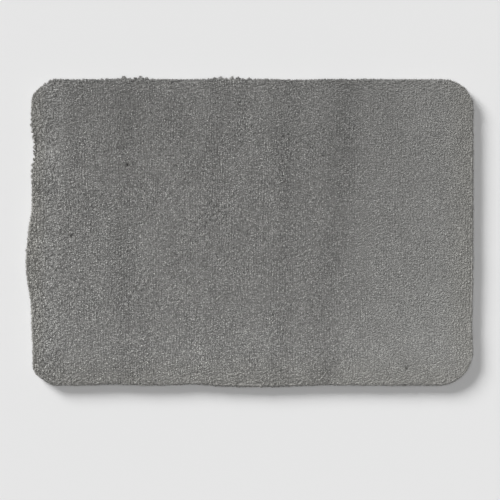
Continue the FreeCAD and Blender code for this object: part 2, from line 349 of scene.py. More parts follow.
def border(grid):
    """The values along a grid's border, counter-clockwise."""
    return np.concatenate([grid[0, :-1], grid[:-1, -1], grid[-1, :0:-1], grid[:0:-1, 0]])


def strip_map(count, high, low):
    """The colour map's places for a ring of four-sided faces, laid out in a row."""
    start = np.arange(count) / count
    end = start + 1 / count
    corners = ((start, high), (start, low), (end, low), (end, high))
    return np.stack([np.column_stack([u, np.full(count, v)]) for u, v in corners], axis=1).reshape(-1, 2)


def across_and_over(run, side_way):
    """Two directions square to a line's run and to each other, for each of its points."""
    run = unit(run)
    across = unit(np.cross(run, side_way))
    return across, np.cross(across, run)


def tube(name, path, radius, side_way, sides=6):
    """A closed loop of two-ply thread along the path; side_way is never parallel to it."""
    ahead = np.roll(path, -1, axis=0)
    across, over = across_and_over(ahead - np.roll(path, 1, axis=0), side_way)
    angle = np.arange(sides) * 2 * math.pi / sides
    along = np.concatenate([[0], np.cumsum(np.linalg.norm(ahead - path, axis=1))[:-1]])
    ply = np.cos(2 * angle[None] - 2 * math.pi * along[:, None] / PLY_PITCH)
    girth = radius * (1 + PLY_DEPTH * ply)
    cos, sin = np.cos(angle)[None, :, None], np.sin(angle)[None, :, None]
    ring = cos * across[:, None] + sin * over[:, None]
    vertices = (path[:, None] + girth[:, :, None] * ring).reshape(-1, 3)
    count = len(path)
    i, j = np.meshgrid(np.arange(count), np.arange(sides), indexing="ij")
    after, turn = (i + 1) % count * sides, (j + 1) % sides
    corners = np.stack([i * sides + j, i * sides + turn, after + turn, after + j], axis=-1)
    mesh = mesh_from(name, vertices, corners.reshape(-1), np.full(count * sides, 4))
    add_attribute(mesh, "ply", 0.5 + 0.5 * ply.ravel())
    set_cells(mesh, count * sides)
    return mesh


def slab(name, flat, rows, columns, low, high):
    """A thin sheet from a grid of points, with the height of its underside and of its top."""
    below = rows * columns
    number = np.arange(below).reshape(rows, columns)
    quads = around(number).reshape(-1, 4)
    rim = border(number)
    after = np.roll(rim, -1)
    side = np.stack([rim, rim + below, after + below, after], axis=-1)
    faces = np.concatenate([quads, quads[:, ::-1] + below, side])
    vertices = np.concatenate([np.column_stack([flat, high]), np.column_stack([flat, low])])
    mesh = mesh_from(name, vertices, faces.ravel(), np.full(len(faces), 4))
    share = (flat - flat.min(axis=0)) / np.ptp(flat, axis=0)
    # the top has the upper half of the colour map, the underside the lower, the rim a line between
    upper = np.column_stack([share[:, 0], 0.52 + 0.48 * share[:, 1]])
    lower = np.column_stack([share[:, 0], 0.47 * share[:, 1]])
    strip = strip_map(len(rim), 0.51, 0.48)
    set_map(mesh, np.concatenate([upper[quads.ravel()], lower[quads[:, ::-1].ravel()], strip]))
    return mesh


# ---- pile

TUFT_PITCH_X = 3.6 * MM
TUFT_PITCH_Y = 4.6 * MM
LOCK_GRID = 3
LOCK_SIDES = 3
LOCK_RADIUS = 0.95 * MM
TOP_RINGS = ((0.0, 0.5), (0.962, 1.0), (0.991, 0.66))
RIM_RINGS = ((0.0, 0.6), (0.45, 1.0), (0.8, 0.85))
ROOT_INSET = 4.6 * MM
RIM_RADIUS = 2.2 * MM
RIM_BLEND = 22 * MM
LOCKS_PER_PIECE = 12000
TIP_CLEARANCE = 1.0 * MM
CLUMP_SIZE = (1.0, 1.6)
STREAK_SIZE = (1.3, 4.0)
CLUMP_RELIEF = 0.46 * MM
# painted light and shade between locks: raised clumps lighter, the sides of the tuft rows darker, and
# painted glints
CLUMP_SHADE = 0.36
ROW_SHADE = 0.47
GLINT_CONTRAST = 0.23
GLINT_MEAN = 2.0
GLINT_LIMIT = 3.6
ROOT_SPREAD = 0.4  # how far apart a tuft's roots stand, as a share of how far its tips do
ROOT_WANDER = 1.5 * MM
CROWN_DROP = 0.9 * MM
RIM_RECESS = 1.7 * MM


def tuft_grid():
    """Roots of the tufts, in rows along Y, kept inside the seam's outer face."""
    draw = np.random.default_rng(SEED)
    columns = np.arange(LEFT_X - EDGE_BULGE, RIGHT_X, TUFT_PITCH_X)
    rows = np.arange(-HALF_Y, HALF_Y, TUFT_PITCH_Y)
    x, y = (a.ravel() for a in np.meshgrid(columns, rows, indexing="ij"))
    row_shift = draw.uniform(0, TUFT_PITCH_Y, len(columns))
    y = y + np.repeat(row_shift, len(rows))
    x = x + ROOT_WANDER * field(1, x, y, 22, 30)
    y = y + ROOT_WANDER * field(2, x, y, 26, 24)
    distance, normal, swell = edge_of(x, y)
    keep = distance > ROOT_INSET
    return x[keep], y[keep], distance[keep], normal[keep], swell[keep]


STRIP_WIDTH = 52 * MM
STRIP_BLEND = 16 * MM


def left_strip(x):
    """1 along the mat's left edge, where the pile lies coarser, and 0 elsewhere."""
    return ease((LEFT_X + STRIP_WIDTH - x) / STRIP_BLEND)


CREASE_SHADE_BANDS = [  # painted shade of soft creases along Y: where (mm), slant, how dark, half its width (mm)
    (-183, 0.02, 0.085, 17),
    (-49, 0.0, 0.035, 14),
    (50, 0.03, 0.100, 15),
    (127, 0.093, 0.135, 22),
]
STRIP_PATCHES = [  # along the left strip: where (mm), how light, half its length (mm)
    (112, 0.13, 20),
    (67, -0.09, 11),
    (32, 0.05, 12),
    (-5, -0.06, 14),
    (-62, -0.07, 20),
    (-190, -0.12, 50),
]


PAINTED_LIGHT_RISES = [  # painted light, lighter towards the right and near sides: the way there, how much, from where (mm), over what length (mm)
    ((1, 0), 0.13, 110, 190),
    ((0, -1), 0.10, -190, 330),
    ((0, -1), 0.065, 85, 100),
]
BASE_TONE = 0.93
# a patch of painted light near the right-hand near corner
PAINTED_LIGHT_PATCH = 0.09
PAINTED_LIGHT_PLACE = (178 * MM, -185 * MM)
PAINTED_LIGHT_SIZE = 45 * MM
STRIP_TONE = 0.06
STRIP_TONE_FROM = -220 * MM
STRIP_TONE_RISE = 120 * MM
RIDGE_HIGHLIGHT = 0.12
RIDGE_X = -276 * MM  # a painted highlight along the strip's inner side, as on a raised line of nap
RIDGE_WIDTH = 7 * MM
RIDGE_FROM = 40 * MM
RIDGE_RISE = 45 * MM


def tone_of(x, y):
    """The pile's lightness: painted shade in soft creases, painted light towards the right and near
    sides and in a patch near their corner, a painted highlight along the strip's inner side, and soft
    patches of tone.
    """
    tone = np.full_like(x, BASE_TONE)
    for place, slant, depth, spread in CREASE_SHADE_BANDS:
        wander = slant * y + 3 * MM * np.sin(y / (60 * MM) + place * MM * 40)
        tone -= depth * hump((x - place * MM - wander) / (spread * MM))
    for way, amount, start, length in PAINTED_LIGHT_RISES:
        tone += amount * ease((way[0] * x + way[1] * y - start * MM) / (length * MM))
    tone += PAINTED_LIGHT_PATCH * spot(x, y, PAINTED_LIGHT_PLACE, PAINTED_LIGHT_SIZE)
    strip = left_strip(x)
    tone += STRIP_TONE * strip * ease((y - STRIP_TONE_FROM) / STRIP_TONE_RISE)
    tone += RIDGE_HIGHLIGHT * (hump((x - RIDGE_X) / RIDGE_WIDTH) * ease((y - RIDGE_FROM) / RIDGE_RISE))
    for place, amount, spread in STRIP_PATCHES:
        tone += strip * amount * hump((y - place * MM) / (spread * MM))
    tone += 0.04 * field(11, x, y, 40, 60) + 0.03 * field(12, x, y, 14, 24)
    return tone


WARM_LEFT_REACH = 28 * MM
WARM_LEFT_BLEND = 24 * MM
WARM_RIGHT_REACH = 55 * MM
WARM_NEAR_REACH = 60 * MM
RIGHT_WARMTH = 0.8
NEAR_WARMTH = 0.7


def warm_of(x, y):
    """1 where the yarn is a little warmer, along the left, right and near sides, and 0 elsewhere."""
    left = ease((LEFT_X + WARM_LEFT_REACH - x) / WARM_LEFT_BLEND)
    right = ease((x - RIGHT_X + WARM_RIGHT_REACH) / WARM_RIGHT_REACH)
    near = ease((WARM_NEAR_REACH - HALF_Y - y) / WARM_NEAR_REACH)
    return np.maximum(np.maximum(left, RIGHT_WARMTH * right), NEAR_WARMTH * near)


LIGHT_WAY = np.array([0.7, -0.7])
RIM_LINE = 4 * MM
RIGHT_LINE = 1.6 * MM
INNER_LINE = 11 * MM


def painted_rim_shade(edge_distance, normal):
    """Painted shade at the mat's edges on the far and left sides, which face the key light, and painted
    light on the right and near sides in its shade, strongest in a line along the right edge.
    """
    inside = np.maximum(edge_distance, 0)
    right, far = np.maximum(normal[:, 0], 0), np.maximum(normal[:, 1], 0)
    facing = normal @ LIGHT_WAY
    rim = (0.11 * facing - 0.03 + 0.04 * right) * hump(inside / RIM_LINE)
    rim += 0.14 * right * hump(inside / RIGHT_LINE)
    return rim - (0.12 * far + 0.03 * right) * np.exp(-inside / INNER_LINE)


PITS = [(232 * MM, -200 * MM), (-262 * MM, -4 * MM), (-180 * MM, 100 * MM)]  # small gaps in the nap
PIT_RADIUS = 2.4 * MM
PIT_DEPTH = 3.0 * MM


def pits_at(x, y):
    """1 in the middle of a gap in the nap, falling to 0 around it."""
    total = np.zeros_like(x)
    for middle in PITS:
        total += spot(x, y, middle, PIT_RADIUS)
    return total


def rim_drop(distance):
    """How far the pile's rounded rim lies below its top, at a distance inside the finished edge."""
    reach = np.clip(RIM_RADIUS - distance, 0, RIM_RADIUS)
    return RIM_RADIUS - np.sqrt(RIM_RADIUS ** 2 - reach ** 2)


def tuft_state(draw, x, y, strip):
    """How far each tuft leans, how far it stands up, and its lightness."""
    lean_x = 1.6 * MM * field(3, x, y, 30, 46) + 0.3 * MM * field(4, x, y, 8, 15)
    lean_y = 2.0 * MM * field(5, x, y, 34, 40) + 0.4 * MM * field(6, x, y, 9, 13)
    lean_x += draw.normal(0, 0.3 * MM, len(x)) - strip * 1.0 * MM
    lean_y += draw.normal(0, 0.4 * MM, len(x)) * (1 + strip)
    lean_y += strip * 4.0 * MM * field(13, x, y, 6, 16)
    height = 0.12 * MM * draw.normal(0, 1, len(x)) + 0.1 * MM * field(7, x, y, 7, 12)
    tone = tone_of(x, y) + draw.normal(0, 0.03, len(x))
    return lean_x, lean_y, height, tone


def lean_outwards(draw, root, tip, distance, normal, swell):
    """Lean the tips near the edge out over the seam; gives how far inside the finished edge they end."""
    count = len(tip)
    pushed = np.clip((RIM_BLEND - distance) / (RIM_BLEND - ROOT_INSET), 0, 1)
    out = smooth(pushed) * (ROOT_INSET - RIM_RECESS + swell)
    tip[:, :2] += normal * (out + pushed * draw.normal(0, 0.8 * MM, count))[:, None]
    inside = distance + swell - ((tip - root)[:, :2] * normal).sum(axis=1)
    # no tip leans out past the finished edge
    past = np.maximum(draw.uniform(-0.3 * MM, 0.5 * MM, count) - inside, 0)
    tip[:, :2] -= normal * past[:, None]
    return inside + past


def lock_painted_shading(draw, x, y, combed, clump, share_x):
    """Painted light and shade between neighbouring locks: lighter where clumps lift the tips and darker
    where they sink, painted glints on single locks, and painted shade on the locks between the rows of
    tufts.
    """
    rows = ROW_SHADE * (1 - combed) * (1 + 0.8 * field(17, x, y, 28, 44))
    glint = np.minimum(draw.gamma(GLINT_MEAN, 1.0, len(x)) - GLINT_MEAN, GLINT_LIMIT)
    grain = CLUMP_SHADE * clump + GLINT_CONTRAST * glint
    grain += rows * (1 / LOCK_GRID - 1.5 * np.abs(share_x))
    # softer towards the far side, in the combed strip and towards the right
    grain *= 1 - 0.2 * ease((y - 110 * MM) / (90 * MM))
    grain *= 1 - 0.1 * combed + 0.22 * field(16, x, y, 20, 32)
    return grain * (1 - 0.5 * ease(x / (260 * MM)))


def interior_locks():
    """Root, bend, tip, side direction, girth and tone of every lock of the tuft grid."""
    draw = np.random.default_rng(SEED + 1)
    x, y, distance, normal, swell = tuft_grid()
    strip = left_strip(x)
    lean_x, lean_y, height, tone = tuft_state(draw, x, y, strip)

    def each(values):
        return np.repeat(values, LOCK_GRID ** 2, axis=0)

    count = len(x) * LOCK_GRID ** 2
    share = (np.arange(LOCK_GRID) + 0.5) / LOCK_GRID - 0.5
    share_x, share_y = (np.tile(a.ravel(), len(x)) for a in np.meshgrid(share, share, indexing="ij"))
    spread = 0.3 / LOCK_GRID
    out_x = (share_x + draw.normal(0, spread, count)) * TUFT_PITCH_X
    out_y = (share_y + draw.normal(0, spread, count)) * TUFT_PITCH_Y
    level = np.zeros(count)
    root = np.column_stack([each(x) + out_x * ROOT_SPREAD, each(y) + out_y * ROOT_SPREAD, level])
    tip = np.column_stack([each(x + lean_x) + out_x, each(y + lean_y) + out_y, level])
    inside = lean_outwards(draw, root, tip, each(distance), each(normal), each(swell))
    tip_x, tip_y = tip[:, 0], tip[:, 1]
    combed = each(strip)
    clump = (1 - combed) * field(14, tip_x, tip_y, *CLUMP_SIZE)
    clump += combed * field(15, tip_x, tip_y, *STREAK_SIZE)
    uneven = CLUMP_RELIEF * clump + draw.normal(0, 0.22 * MM, count).clip(-0.8 * MM, 0.5 * MM)
    crown = (share_x ** 2 + share_y ** 2) * CROWN_DROP
    pit = pits_at(tip_x, tip_y)
    top = PILE_HIGH[2] - TIP_CLEARANCE
    tip[:, 2] = top - rim_drop(inside) + each(height) - crown + uneven - PIT_DEPTH * pit
    root[:, 2] = PILE_LOW[2]
    bend = root + (tip - root) * np.array([0.3, 0.3, 0.6])
    bend[:, :2] += draw.normal(0, 0.3 * MM, (count, 2))
    angle = draw.uniform(0, 2 * math.pi, count)
    side_way = np.column_stack([np.cos(angle), np.sin(angle), level])
    girth = LOCK_RADIUS * draw.uniform(0.8, 1.2, count) * (1 + 0.15 * combed)
    # painted light and shade between neighbouring locks
    grain = lock_painted_shading(draw, tip_x, tip_y, combed, clump, share_x)
    # painted shade darkens the locks in the nap's small gaps
    shade = each(tone) + grain + painted_rim_shade(inside, each(normal)) - 1.0 * pit
    return root, bend, tip, side_way, girth, shade


CORE_DEPTH = 1.8 * MM
CORE_INSET = 0.9 * MM
CORE_STEP = 2.1 * MM
CORE_EDGE_STEPS = np.array([0.0, 0.25, 0.7, 1.3, 2.1, 3.1, 4.4, 6.0]) * MM
CORE_SKIRT = [  # below the rim, in mm: how far further in, and the level
    (1.2, 12.5),
    (1.5, 7.0),
    (2.4, 4.8),
    (3.6, 3.8),
    (4.0, 2.9),
]


def spaced(length, step):
    """Shares from 0 to 1 along a side: close together at its ends, then evenly spaced."""
    inner = np.arange(CORE_EDGE_STEPS[-1], length / 2, step)[1:]
    half = np.concatenate([CORE_EDGE_STEPS, inner]) / length
    return np.concatenate([half, 1 - half[::-1]])


def side_between(loop, first, last, shares):
    """Points of a closed line from one of its points to another, at the given shares."""
    run = np.arange(first, last + (len(loop) if last < first else 0) + 1) % len(loop)
    part = loop[run]
    along = np.concatenate([[0], np.cumsum(np.hypot(*np.diff(part, axis=0).T))])
    places = shares * along[-1]
    return line_at(places, along, part)


def patch_inside(loop, step):
    """Points of a grid stretched inside a closed line, row by row from the near side, and the
    shares across and up that its columns and rows lie at."""
    across, up = spaced(RIGHT_X - LEFT_X, step), spaced(2 * HALF_Y, step)
    ways = np.array([(-1, -1), (1, -1), (1, 1), (-1, 1)])  # towards the mat's four corners
    corners = [int((loop @ way).argmax()) for way in ways]
    near = side_between(loop, corners[0], corners[1], across)
    right = side_between(loop, corners[1], corners[2], up)
    far = side_between(loop, corners[2], corners[3], 1 - across[::-1])[::-1]
    left = side_between(loop, corners[3], corners[0], 1 - up[::-1])[::-1]
    u, v = across[None, :, None], up[:, None, None]
    flat = (1 - v) * near[None] + v * far[None] + (1 - u) * left[:, None] + u * right[:, None]
    flat -= ((1 - u) * (1 - v) * near[0] + u * (1 - v) * near[-1]
             + (1 - u) * v * far[0] + u * v * far[-1])
    return flat.reshape(-1, 2), across, up


def nap_height(x, y, edge_distance):
    """Height of the packed fibres at a distance inside the finished edge."""
    relief = 0.1 * MM * field(21, x, y, 3.4, 4.8) + 0.1 * MM * field(7, x, y, 7, 12)
    relief -= 0.4 * MM * left_strip(x) + 0.8 * PIT_DEPTH * pits_at(x, y)
    top = PILE_HIGH[2] - TIP_CLEARANCE - CORE_DEPTH
    return top - rim_drop(edge_distance - CORE_INSET) + relief


# The core's colour map: the skirt's rings and the base lie in rows below the top's place.
TOP_MAP_START = 0.06
TOP_MAP_HEIGHT = 0.93
RING_MAP_TOP = 0.055
RING_MAP_BOTTOM = 0.048
RING_MAP_PITCH = 0.009


def pile_core():
    """The packed fibres that fill the pile below its tips, as one closed form."""
    loop = OUTLINE + NORMALS * (SWELL - CORE_INSET)[:, None]
    flat, across, up = patch_inside(loop, CORE_STEP)
    distance, normal, swell = edge_of(flat[:, 0], flat[:, 1])
    height = nap_height(flat[:, 0], flat[:, 1], distance + swell)
    number = np.arange(len(flat)).reshape(len(up), len(across))
    rim = border(number)
    count = len(rim)
    levels = [np.column_stack([flat, height])]
    for inward, level in CORE_SKIRT:
        ring = flat[rim] - normal[rim] * (inward * MM)
        levels.append(np.column_stack([ring, np.full(count, level * MM)]))
    vertices = np.concatenate(levels)

    share = np.stack(np.meshgrid(across, up * TOP_MAP_HEIGHT + TOP_MAP_START), axis=-1)
    corners, places = [around(number).reshape(-1)], [around(share).reshape(-1, 2)]
    upper = rim
    for k in range(len(CORE_SKIRT)):
        lower = len(flat) + k * count + np.arange(count)
        strip = np.stack([upper, lower, np.roll(lower, -1), np.roll(upper, -1)], axis=-1)
        corners.append(strip.reshape(-1))
        step = RING_MAP_PITCH * k
        places.append(strip_map(count, RING_MAP_TOP - step, RING_MAP_BOTTOM - step))
        upper = lower
    corners.append(upper[::-1])
    base = vertices[upper[::-1], :2]
    places.append((base - PILE_LOW[:2]) / (PILE_HIGH - PILE_LOW)[:2] * RING_MAP_PITCH)
    quads = (len(up) - 1) * (len(across) - 1) + len(CORE_SKIRT) * count
    mesh = mesh_from("pile_core", vertices, np.concatenate(corners), np.array([4] * quads + [count]))
    set_map(mesh, np.concatenate(places))
    add_attribute(mesh, "tone", tone_of(vertices[:, 0], vertices[:, 1]))
    # 0.7 along gives the core the painted shade of the pile's depth
    add_attribute(mesh, "along", np.full(len(vertices), 0.7))
    add_attribute(mesh, "warm", warm_of(vertices[:, 0], vertices[:, 1]))
    return finish_piece(mesh, PILE, "pile_yarn", "pile")


RIM_LEVELS = [  # in mm: tip height and how far inside the finished edge, from the top row down
    (18.4, 0.9),
    (17.2, 0.0),
    (14.6, -0.7),
    (11.6, -0.8),
    (9.2, -0.8),
    (7.0, -0.4),
    (5.0, 0.4),
    (3.6, 1.4),
]
RIM_PITCH = 3.2 * MM
RIM_LOCKS = 5
RIM_ROOT_STEP = 0.25 * MM
RIM_ROOT_SPREAD = 1.2 * MM
LOOSE_FROM = 2  # the row from which the side's locks stand out more unevenly
LOWEST_TIP = 2.2 * MM


def rim_locks():
    """The locks that hang out over the seam and close the mat's side."""
    draw = np.random.default_rng(SEED + 2)
    parts = []
    for level, (height, inside) in enumerate(RIM_LEVELS):
        count = int(len(OUTLINE) * OUTLINE_STEP / RIM_PITCH)
        place = (np.arange(count) + 0.5 * (level % 2)) / count * len(OUTLINE)
        place = np.repeat(place, RIM_LOCKS) + draw.normal(0, 0.55, count * RIM_LOCKS)
        index = np.round(place).astype(int) % len(OUTLINE)
        shift = (place - np.round(place)) * OUTLINE_STEP
        normal = NORMALS[index]
        run = np.column_stack([-normal[:, 1], normal[:, 0]])
        edge = OUTLINE[index] + run * shift[:, None]
        total = len(index)
        tuft = np.repeat(draw.normal(0, 1, (count, 3)), RIM_LOCKS, axis=0)
        root = np.zeros((total, 3))
        inward = ROOT_INSET + level * RIM_ROOT_STEP + draw.uniform(0, RIM_ROOT_SPREAD, total)
        root[:, :2] = edge - normal * inward[:, None]
        root[:, 2] = SEAM_TOP - 0.3 * MM
        loose = 1.0 if level < LOOSE_FROM else 2.6
        stand_out = loose * (0.15 * MM * tuft[:, 0] + draw.normal(0, 0.12 * MM, total))
        reach = SWELL[index] - inside * MM + stand_out
        tip = np.zeros((total, 3))
        tip[:, :2] = edge + normal * reach[:, None] + run * (0.6 * MM * tuft[:, 1])[:, None]
        tip[:, :2] += run * draw.normal(0, 0.7 * MM, total)[:, None]
        tip[:, 2] = height * MM + 0.5 * MM * tuft[:, 2] + draw.normal(0, 0.5 * MM, total)
        tip[:, 2] = np.maximum(tip[:, 2], LOWEST_TIP)
        bend = root + (tip - root) * np.array([0.45, 0.45, 0.0])
        lift = np.maximum(tip[:, 2] - root[:, 2], 1.5 * MM) * 0.8
        bend[:, 2] = root[:, 2] + lift
        side_way = np.column_stack([run, np.zeros(total)])
        girth = LOCK_RADIUS * draw.uniform(0.8, 1.15, total)
        # the side's locks take the painted light and shade of the edges too
        tone = tone_of(tip[:, 0], tip[:, 1]) + painted_rim_shade(np.zeros(total), normal)
        tone += 0.1 * tuft[:, 2] + draw.normal(0, 0.2, total).clip(-0.4, 0.4)
        parts.append((root, bend, tip, side_way, girth, tone))
    return [np.concatenate(column) for column in zip(*parts)]


def lock_vertices(shape, root, bend, tip, side_way, girth):
    """Each lock's rings along its bent line, from the root up, and its point."""
    blocks = []
    for t, share in shape:
        middle = (1 - t) ** 2 * root + 2 * t * (1 - t) * bend + t * t * tip
        across, over = across_and_over((1 - t) * (bend - root) + t * (tip - bend), side_way)
        for a in np.arange(LOCK_SIDES) * 2 * math.pi / LOCK_SIDES:
            out = math.cos(a) * across + math.sin(a) * over
            blocks.append(middle + (girth * share)[:, None] * out)
    blocks.append(tip)
    return np.stack(blocks, axis=1).reshape(-1, 3)


def lock_faces(along):
    """One lock's faces, and each face corner's place round and along the lock."""
    sides, faces, places = LOCK_SIDES, [], []
    last = len(along) - 2
    for r in range(last):
        low, high = r * sides, (r + 1) * sides
        for s in range(sides):
            after = (s + 1) % sides
            faces.append([low + s, low + after, high + after, high + s])
            places.append([(s, along[r]), (s + 1, along[r]), (s + 1, along[r + 1]), (s, along[r + 1])])
    for s in range(sides):
        faces.append([last * sides + s, last * sides + (s + 1) % sides, (last + 1) * sides])
        places.append([(s, along[last]), (s + 1, along[last]), (s + 0.5, 1.0)])
    faces.append(list(range(sides))[::-1])
    places.append([(s, 0.0) for s in range(sides)][::-1])
    return faces, places


def lock_mesh(name, shape, root, bend, tip, side_way, girth, tone):
    """Closed tapered locks: rings along a bent line, a point at the tip and a cap at the root."""
    count, per_lock = len(root), len(shape) * LOCK_SIDES + 1
    along = [t for t, share in shape] + [1.0]
    faces, places = lock_faces(along)
    sizes = np.tile([len(face) for face in faces], count)
    one = np.array([corner for face in faces for corner in face])
    corners = (one[None, :] + per_lock * np.arange(count)[:, None]).ravel()
    vertices = lock_vertices(shape, root, bend, tip, side_way, girth)
    mesh = mesh_from(name, vertices, corners, sizes)

    # each lock has a small cell of the colour map to itself
    cells = math.ceil(math.sqrt(count))
    flat = np.array([place for face in places for place in face], dtype=float)
    flat[:, 0] = (CELL_MARGIN + (1 - 2 * CELL_MARGIN) * flat[:, 0] / LOCK_SIDES) / cells
    flat[:, 1] = (CELL_MARGIN + (1 - 2 * CELL_MARGIN) * flat[:, 1]) / cells
    number = np.arange(count)
    cell = np.column_stack([number % cells, number // cells]) / cells
    set_map(mesh, flat[None] + cell[:, None])

    add_attribute(mesh, "tone", np.repeat(tone, per_lock))
    add_attribute(mesh, "warm", np.repeat(warm_of(root[:, 0], root[:, 1]), per_lock))
    height = np.concatenate([np.repeat(along[:-1], LOCK_SIDES), [1.0]])
    add_attribute(mesh, "along", np.tile(height, count))
    return mesh


def lock_pieces(name, locks, shape):
    """The locks as pieces of a moderate size, shared out in bands along Y."""
    root_y = locks[0][:, 1]
    bands = math.ceil(len(root_y) / LOCKS_PER_PIECE)
    edges = np.quantile(root_y, np.linspace(0, 1, bands + 1))
    pieces = []
    for i in range(bands):
        inside = (root_y >= edges[i]) & (root_y < edges[i + 1] + (i == bands - 1))
        mesh = lock_mesh(f"{name}_{i + 1:02d}", shape, *(part[inside] for part in locks))
        pieces.append(finish_piece(mesh, PILE, "pile_yarn", "pile"))
    return pieces


# ---- materials

class Shader:
    """A material's nodes, with its Principled shader at hand."""

    def __init__(self, name, **constants):
        self.material = bpy.data.materials.new(name)
        self.material.use_nodes = True
        self.nodes = self.material.node_tree.nodes
        self.links = self.material.node_tree.links
        self.principled = self.nodes["Principled BSDF"]
        for socket, value in constants.items():
            self.give(socket.replace("_", " "), value)

    def node(self, kind, **values):
        made = self.nodes.new("ShaderNode" + kind)
        for key, value in values.items():
            if key in made.inputs:
                made.inputs[key].default_value = value
            else:
                setattr(made, key, value)
        return made

    def feed(self, socket, value):
        """Link a node's output to the socket, or give the socket a fixed value."""
        if isinstance(value, bpy.types.NodeSocket):
            self.links.new(value, socket)
        else:
            socket.default_value = value

    def give(self, name, value):
        """Feed one of the Principled shader's own sockets."""
        self.feed(self.principled.inputs[name], value)

    def attribute(self, name):
        return self.node("Attribute", attribute_name=name).outputs["Fac"]

    def maths(self, operation, first, second):
        made = self.node("Math", operation=operation)
        self.feed(made.inputs[0], first)
        self.feed(made.inputs[1], second)
        return made.outputs[0]

    def weighted(self, value, weight, rest):
        """The value times its weight, plus the rest."""
        return self.maths("ADD", self.maths("MULTIPLY", value, weight), rest)

    def colour_maths(self, operation, first, second):
        """Maths on colours; with SCALE the second value is one number."""
        made = self.node("VectorMath", operation=operation)
        self.feed(made.inputs[0], first)
        self.feed(made.inputs["Scale" if operation == "SCALE" else 1], second)
        return made.outputs[0]

    def blend(self, factor, dark, light, low, high):
        """From one colour to another as the factor goes from low to high."""
        made = self.node("ValToRGB")
        for element, place, colour in zip(made.color_ramp.elements, (low, high), (dark, light)):
            element.position = place
            element.color = (*colour, 1)
        self.feed(made.inputs["Fac"], factor)
        return made.outputs["Color"]


WARM_CHANGE = (0.013, 0.004, -0.020)  # what full warmth adds to red, green and blue, as shares
# the root colour is the yarn's with painted shade of the pile's depth
SHADED_ROOT_COLOUR = (0.172, 0.1706, 0.1650)
TIP_COLOUR = (0.300, 0.2978, 0.2878)


def pile_material():
    """Microfibre: painted shade darkens it towards the root; each lock and each area takes its own
    lightness from the tone, which carries painted light and shade as well.
    """
    shader = Shader("pile_microfibre", Roughness=0.9, Sheen_Weight=0.05, Sheen_Roughness=0.5,
                    Specular_IOR_Level=0.2)
    yarn = shader.blend(shader.attribute("along"), SHADED_ROOT_COLOUR, TIP_COLOUR, 0.25, 0.95)
    shade = shader.colour_maths("SCALE", yarn, shader.attribute("tone"))
    change = shader.colour_maths("SCALE", WARM_CHANGE, shader.attribute("warm"))
    factor = shader.colour_maths("ADD", (1, 1, 1), change)
    tinted = shader.colour_maths("MULTIPLY", shade, factor)
    shader.give("Base Color", tinted)
    return shader.material


PILE = pile_material()


def ramp_colour(shader, factor, dark, light, low=0.0, high=1.0):
    """Base colour from one colour to another as the factor goes from low to high."""
    shader.give("Base Color", shader.blend(factor, dark, light, low, high))


def object_noise(shader, scale):
    noise = shader.node("TexNoise", Scale=scale, Detail=3.0)
    shader.feed(noise.inputs["Vector"], shader.node("TexCoord").outputs["Object"])
    return noise.outputs["Fac"]


def object_place(shader):
    """The place on the mat, as outputs X, Y and Z."""
    place = shader.node("SeparateXYZ")
    shader.feed(place.inputs[0], shader.node("TexCoord").outputs["Object"])
    return place.outputs


def add_bump(shader, height, strength, distance):
    bump = shader.node("Bump", Strength=strength, Distance=distance)
    shader.feed(bump.inputs["Height"], height)
    shader.give("Normal", bump.outputs["Normal"])


def thread_material(name, dark, light):
    """Spun polyester: painted shade in the groove between the plies, lighter on their crests."""
    shader = Shader(name, Roughness=0.75, Sheen_Weight=0.2, Specular_IOR_Level=0.3)
    fuzz = shader.maths("MULTIPLY", object_noise(shader, 1800.0), 0.5)
    ramp_colour(shader, shader.weighted(shader.attribute("ply"), 0.75, fuzz), dark, light)
    return shader.material


def weave_height(shader, pitch_x, pitch_y):
    """1 where a yarn of a plain weave crosses over, 0 in the holes between the yarns."""
    place = object_place(shader)
    warp = shader.maths("SINE", shader.maths("MULTIPLY", place["X"], math.pi / pitch_x), 0.0)
    weft = shader.maths("SINE", shader.maths("MULTIPLY", place["Y"], math.pi / pitch_y), 0.0)
    over = shader.maths("MULTIPLY", warp, weft)
    return shader.weighted(over, 0.5, 0.5)


def backing_material():
    """Plain woven polyester cloth."""
    shader = Shader("backing_weave", Roughness=0.8, Sheen_Weight=0.1, Specular_IOR_Level=0.25)
    weave = weave_height(shader, 0.9 * MM, 0.9 * MM)
    fuzz = shader.maths("MULTIPLY", object_noise(shader, 900.0), 0.4)
    ramp_colour(shader, shader.weighted(weave, 0.8, fuzz), (0.20, 0.20, 0.19), (0.40, 0.395, 0.38))
    add_bump(shader, weave, 0.5, 0.1 * MM)
    return shader.material


def latex_material():
    """Dried latex: cloudy, with a soft uneven skin."""
    shader = Shader("latex_film", Roughness=0.6, Specular_IOR_Level=0.4)
    ramp_colour(shader, object_noise(shader, 60.0), (0.40, 0.385, 0.34), (0.58, 0.56, 0.50), 0.35, 0.65)
    add_bump(shader, object_noise(shader, 500.0), 0.3, 0.1 * MM)
    return shader.material


def rubber_material():
    """Moulded anti-slip rubber: faint clouding, a fine grain and uneven gloss."""
    shader = Shader("anti_slip_rubber", Specular_IOR_Level=0.4)
    ramp_colour(shader, object_noise(shader, 35.0), (0.20, 0.20, 0.195), (0.27, 0.27, 0.26), 0.3, 0.7)
    grain = object_noise(shader, 1500.0)
    shader.give("Roughness", shader.weighted(grain, 0.25, 0.5))
    add_bump(shader, grain, 0.35, 0.06 * MM)
    return shader.material


